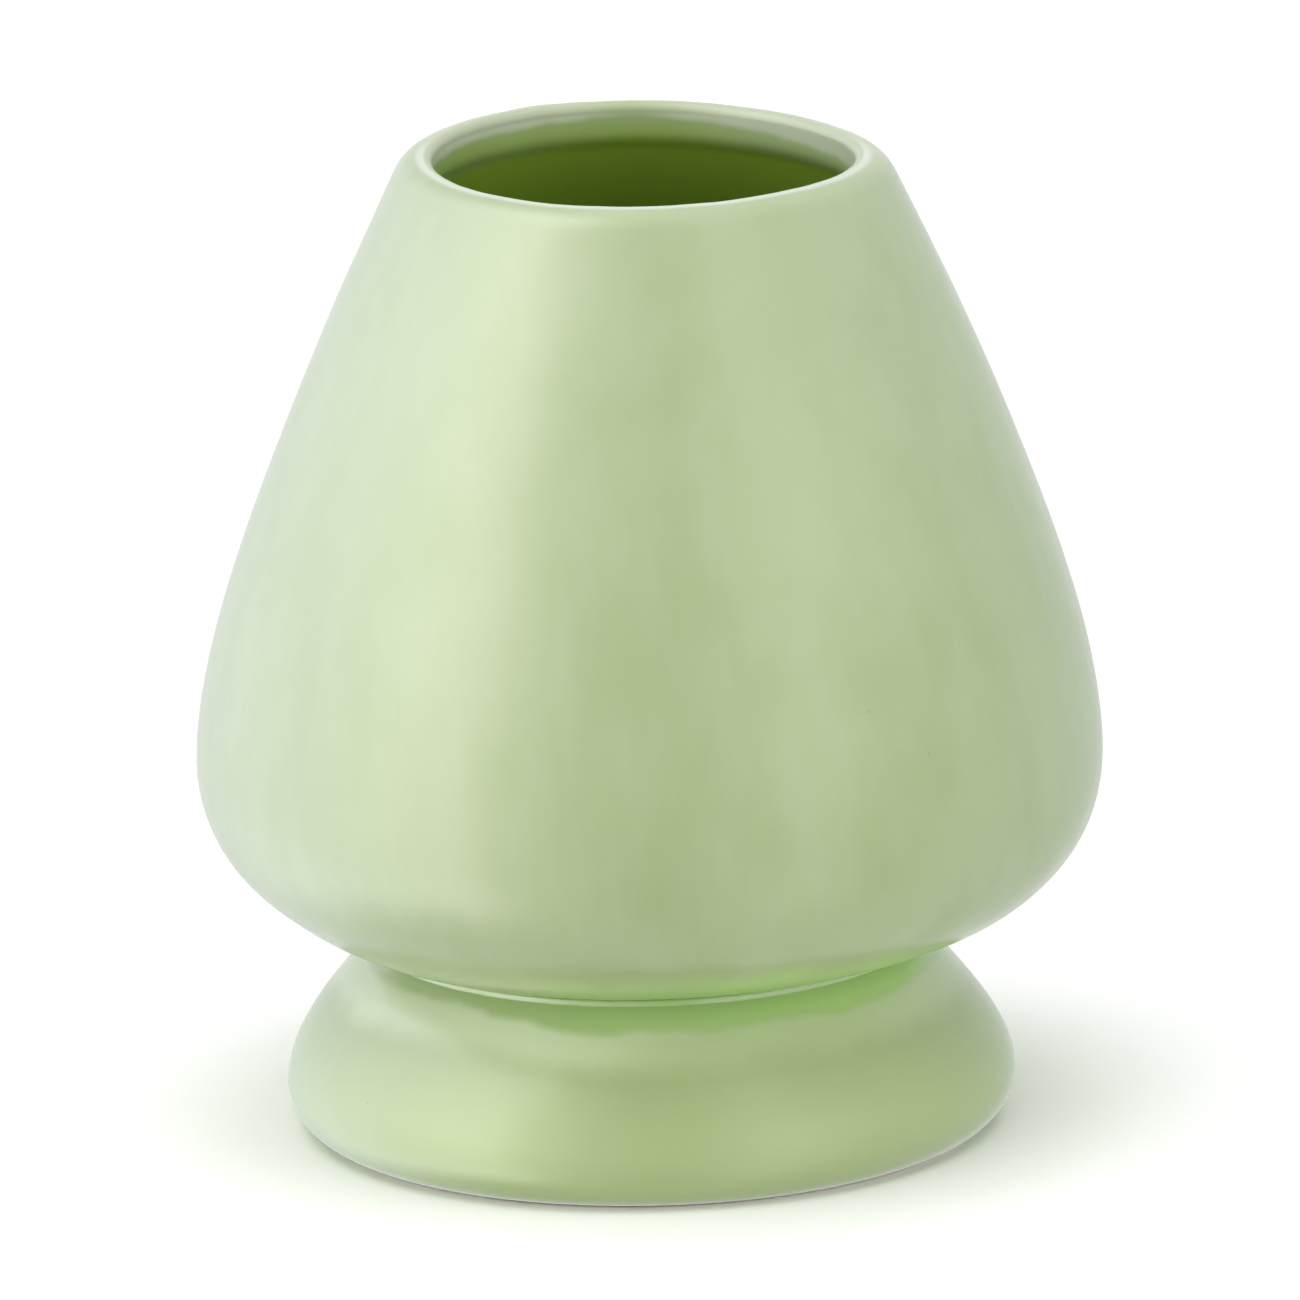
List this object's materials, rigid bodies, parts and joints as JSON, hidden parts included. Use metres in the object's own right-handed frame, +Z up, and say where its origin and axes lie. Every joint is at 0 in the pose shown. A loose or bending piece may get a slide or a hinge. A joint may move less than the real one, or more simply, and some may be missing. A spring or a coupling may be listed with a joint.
{
  "type": "tea whisk holder",
  "caption": "Pale green glazed ceramic holder for a bamboo tea whisk: low full bulb with a narrow open mouth, pinched neck and flared foot that is hollow underneath.",
  "frame": {"origin": "centre of the flat ring that the foot stands on", "axes": "+Z up along the axis of revolution, from the foot to the mouth; +X and +Y lie in the plane that it stands on, and the pictured side faces -Y"},
  "size_m": [0.064, 0.064, 0.07],
  "materials": {
    "celadon_glaze": "glossy pale green glaze over a white body, paler where it runs thin on the lip",
    "pooled_glaze": "the same glaze where it has run thick into the neck, deeper green and glossy"
  },
  "bodies": {
    "root": {"bulb": "celadon_glaze", "luting_seam": "pooled_glaze", "foot": "celadon_glaze"}
  },
  "joints": []
}
